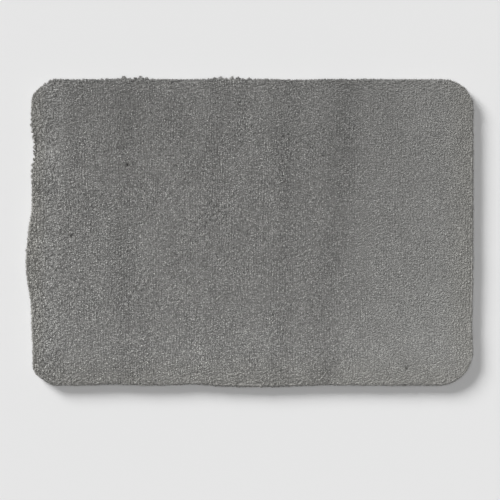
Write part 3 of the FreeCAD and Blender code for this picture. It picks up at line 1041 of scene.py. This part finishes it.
def label_material():
    """Satin ribbon: fine yarns across it and a denser selvedge on its long sides."""
    shader = Shader("label_ribbon", Roughness=0.45, Sheen_Weight=0.15, Specular_IOR_Level=0.5)
    weave = weave_height(shader, 0.7 * MM, 0.35 * MM)
    from_middle = shader.maths("ABSOLUTE", object_place(shader)["Y"], 0.0)
    inner = shader.maths("LESS_THAN", from_middle, LABEL_HIGH[1] - 1.1 * MM)
    shade = shader.weighted(weave, 0.6, shader.maths("MULTIPLY", inner, 0.4))
    ramp_colour(shader, shade, (0.55, 0.54, 0.51), (0.80, 0.79, 0.755))
    add_bump(shader, weave, 0.3, 0.05 * MM)
    return shader.material


# ---- cloth, threads and label

STITCH_PITCH = 2.4 * MM
STEPS_PER_STITCH = 12
LOOPER_RADIUS = 0.26 * MM
NEEDLE_RADIUS = 0.2 * MM
LOOPER_INSET = 5.85 * MM
LOOPER_SWING = 2.9 * MM
CLOTH_STEP = 5 * MM
STITCH_MARGIN = 2 * MM
LABEL_STITCH_PITCH = 4 * MM
LABEL_STITCH_LENGTH = 3 * MM
LABEL_STITCH_WIDTH = 0.24 * MM
LABEL_STITCH_HEIGHT = 0.14 * MM


def stitch_line():
    """Shares along the outline and the phase of the stitches, from 0 to 1 within each."""
    stitches = int(round(len(OUTLINE) * OUTLINE_STEP / STITCH_PITCH))
    count = stitches * STEPS_PER_STITCH
    return np.arange(count) / count, np.arange(count) / STEPS_PER_STITCH % 1


def looper_thread(name, upper):
    """One looper's thread: it zigzags over one face of the sheets and meets the other looper's
    thread along their cut edge."""
    shares, phase = stitch_line()
    swing = np.cos(2 * math.pi * (phase + (0.5 if upper else 0.0)))
    inset = LOOPER_INSET + LOOPER_SWING * swing
    point, normal = outline_at(shares)
    depth = SEAM_MIDDLE - SEAM_BOTTOM - LOOPER_RADIUS
    level = depth * (1 - ease((-swing - 0.75) / 0.25) * 0.95)
    height = SEAM_MIDDLE + level if upper else SEAM_MIDDLE - level
    path = np.column_stack([point - normal * inset[:, None], height])
    side_way = np.column_stack([normal * 0.6, np.full(len(path), 0.8)])
    return tube(name, path, LOOPER_RADIUS, side_way)


def needle_stitches():
    """The needle thread: a run of stitches that dips into the sheet between them."""
    shares, phase = stitch_line()
    point, normal = outline_at(shares)
    dip = np.abs(np.cos(math.pi * phase)) ** 4
    height = SEAM_BOTTOM + 1.05 * NEEDLE_RADIUS + 0.45 * MM * dip
    path = np.column_stack([point - normal * NEEDLE_INSET, height])
    return tube("needle_stitches", path, NEEDLE_RADIUS, np.tile([0.0, 0.0, 1.0], (len(path), 1)))


def backing_cloth():
    """The woven cloth that the tufts are stitched through, in the outline's shape."""
    loop = OUTLINE - NORMALS * SHEETS_INSET
    flat, across, up = patch_inside(loop, CLOTH_STEP)
    low = np.full(len(flat), BACKING_LOW[2])
    high = np.full(len(flat), BACKING_HIGH[2])
    return slab("backing_cloth", flat, len(up), len(across), low, high)


def stitch_places():
    """Middle and direction of each stitch that holds the label down, round its four sides."""
    middle = (LABEL_LOW + LABEL_HIGH)[:2] / 2
    half = (LABEL_HIGH - LABEL_LOW)[:2] / 2 - STITCH_MARGIN
    along_x = (np.arange(13) - 6) * LABEL_STITCH_PITCH
    along_y = (np.arange(7) - 3) * LABEL_STITCH_PITCH
    places = [(middle[0] + x, middle[1] + side * half[1], 1, 0) for side in (-1, 1) for x in along_x]
    places += [(middle[0] + side * half[0], middle[1] + y, 0, 1) for side in (-1, 1) for y in along_y]
    return places


def care_label():
    """A blank ribbon, pulled in a little at each stitch, with thinner selvedges."""
    columns, rows = 113, 65
    x = np.linspace(LABEL_LOW[0], LABEL_HIGH[0], columns)
    y = np.linspace(LABEL_LOW[1], LABEL_HIGH[1], rows)
    flat = np.stack(np.meshgrid(x, y), axis=-1).reshape(-1, 2)
    pull = np.zeros(len(flat))
    for place_x, place_y, way_x, way_y in stitch_places():
        reach = np.array([1.5 if way_x else 0.8, 1.5 if way_y else 0.8]) * MM
        pull += np.exp(-(((flat - (place_x, place_y)) / reach) ** 2).sum(axis=1))
    pull = np.clip(pull, 0, 1)
    edge = np.minimum(flat - LABEL_LOW[:2], LABEL_HIGH[:2] - flat).min(axis=1)
    selvedge = 0.06 * MM * np.exp(-edge / (0.4 * MM))
    ripple = 0.02 * MM * np.sin(flat[:, 0] / (3.1 * MM)) * np.sin(flat[:, 1] / (4.3 * MM))
    low = LABEL_LOW[2] + 0.05 * MM * pull + selvedge + ripple
    high = LABEL_HIGH[2] - 0.01 * MM - 0.3 * selvedge + 0.3 * ripple
    return slab("care_label_ribbon", flat, rows, columns, low, high)


def label_stitches():
    """Short arched stitches, each flattened, with both ends going into the label."""
    rings, sides = 9, 8
    t = np.linspace(0, 1, rings)
    angle = np.arange(sides) * 2 * math.pi / sides
    vertices, corners, sizes, plies = [], [], [], []
    for place_x, place_y, way_x, way_y in stitch_places():
        base = len(vertices)
        for k in range(rings):
            arch = math.sin(math.pi * t[k]) ** 0.6
            offset = (t[k] - 0.5) * LABEL_STITCH_LENGTH
            level = STITCH_LOW + 0.15 * MM + 0.25 * MM * (1 - arch)
            for a in angle:
                wide = LABEL_STITCH_WIDTH * (0.55 + 0.45 * arch) * math.cos(a)
                high = LABEL_STITCH_HEIGHT * (0.7 + 0.3 * arch) * math.sin(a)
                x = place_x + way_x * offset - way_y * wide
                y = place_y + way_y * offset + way_x * wide
                vertices.append((x, y, level + high))
                plies.append(0.5 + 0.5 * math.cos(2 * a - 4 * math.pi * t[k]))
        for k in range(rings - 1):
            for j in range(sides):
                first, second = base + k * sides, base + (k + 1) * sides
                turn = (j + 1) % sides
                corners += [first + j, first + turn, second + turn, second + j]
                sizes.append(4)
        for ring, step in ((0, -1), (rings - 1, 1)):
            end = [base + ring * sides + j for j in range(sides)][::step]
            for j in (1, 3, 5):
                corners += [end[0], *end[j:j + 3]]
                sizes.append(4)
    mesh = mesh_from("label_stitches", np.array(vertices), np.array(corners), np.array(sizes))
    add_attribute(mesh, "ply", np.array(plies))
    set_cells(mesh, len(sizes))
    return mesh


def make_soft_pieces():
    """The cloth, threads, label and its stitches, each made as a piece with its material."""
    looper = thread_material("overlock_thread", (0.12, 0.118, 0.112), (0.30, 0.295, 0.28))
    needle = thread_material("needle_thread", (0.10, 0.098, 0.094), (0.26, 0.255, 0.245))
    sewing = thread_material("label_thread", (0.42, 0.415, 0.39), (0.72, 0.71, 0.68))
    upper = finish_piece(looper_thread("upper_looper", True), looper, "overlock_thread",
                         "upper_looper_thread")
    lower = finish_piece(looper_thread("lower_looper", False), looper, "overlock_thread",
                         "lower_looper_thread")
    needles = finish_piece(needle_stitches(), needle, "needle_thread", "needle_thread")
    cloth = finish_piece(backing_cloth(), backing_material(), "backing_cloth", "primary_backing")
    stitches = finish_piece(label_stitches(), sewing, "label_thread", "label_stitching")
    label = finish_piece(care_label(), label_material(), "label_ribbon", "care_label")


def finish_cad_node(name, material):
    """A material for a CAD node whose shape stays."""
    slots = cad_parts[name].data.materials
    slots.clear()
    slots.append(material)


# ---- scene

FLOOR_SIZE = 30.0
BACKDROP_RADIUS = 30.0
BACKDROP_LEVELS = (-4.0, 5.0)
PALE = 0.78
FLOOR_TONE = 0.745
WORLD_STRENGTH = 0.095
FRAME_WIDTH = 0.737
CAMERA_X = 0.8 * MM
CAMERA_Y = -25.8 * MM


def grey(level):
    return (level, level, level, 1)


def backdrop():
    """A pale round wall far behind everything, which also lights the mat's sides softly."""
    count = 96
    turn = np.arange(count) * 2 * math.pi / count
    ring = np.column_stack([np.cos(turn), np.sin(turn)]) * BACKDROP_RADIUS
    vertices = [np.column_stack([ring, np.full(count, level)]) for level in BACKDROP_LEVELS]
    i = np.arange(count)
    after = (i + 1) % count
    corners = np.column_stack([i, i + count, after + count, after])
    mesh = mesh_from("backdrop", np.concatenate(vertices), corners.ravel(), np.full(count, 4))
    wall = add_object(mesh)
    glow = Shader("backdrop_paper", Roughness=1.0, Emission_Strength=1.0)
    glow.give("Base Color", grey(0))
    glow.give("Emission Color", grey(PALE))
    mesh.materials.append(glow.material)


def add_sun(name, energy, angle, slope_x, slope_y):
    """A soft sun; the slopes are how far its light goes along X and Y for each metre down."""
    lamp = bpy.data.lights.new(name, "SUN")
    lamp.energy = energy
    lamp.angle = math.radians(angle)
    sun = add_object(lamp)
    sun.rotation_euler = Vector((slope_x, slope_y, -1)).to_track_quat("-Z", "Y").to_euler()


def set_up_scene():
    """The pale floor and wall, the soft light and the camera straight above."""
    scene = bpy.context.scene
    scene.view_settings.view_transform = "Standard"
    bpy.ops.mesh.primitive_plane_add(size=FLOOR_SIZE, location=(0, 0, 0))
    floor = bpy.context.object
    floor.name = "floor"
    paper = Shader("floor_paper", Roughness=0.9, Specular_IOR_Level=0.0)
    paper.give("Base Color", grey(FLOOR_TONE))
    floor.data.materials.append(paper.material)
    backdrop()

    world = bpy.data.worlds.new("studio")
    scene.world = world
    world.use_nodes = True
    sky = world.node_tree.nodes["Background"]
    sky.inputs["Color"].default_value = grey(1)
    sky.inputs["Strength"].default_value = WORLD_STRENGTH
    add_sun("key", 3.72, 26, 1.20, -1.12)
    add_sun("overhead", 1.04, 30, 0.0, 0.0)

    lens = bpy.data.cameras.new("camera")
    lens.lens = 250
    lens.clip_end = 50
    camera = add_object(lens)
    distance = FRAME_WIDTH * lens.lens / lens.sensor_width
    camera.location = (CAMERA_X, CAMERA_Y, distance + PILE_HIGH[2])
    camera.rotation_euler = (0, 0, 0)
    scene.camera = camera


pile_pieces = [pile_core()]
pile_pieces += lock_pieces("pile_top", interior_locks(), TOP_RINGS)
pile_pieces += lock_pieces("pile_rim", rim_locks(), RIM_RINGS)
make_soft_pieces()
finish_cad_node("latex_precoat", latex_material())
finish_cad_node("anti_slip_sheet", rubber_material())
set_up_scene()
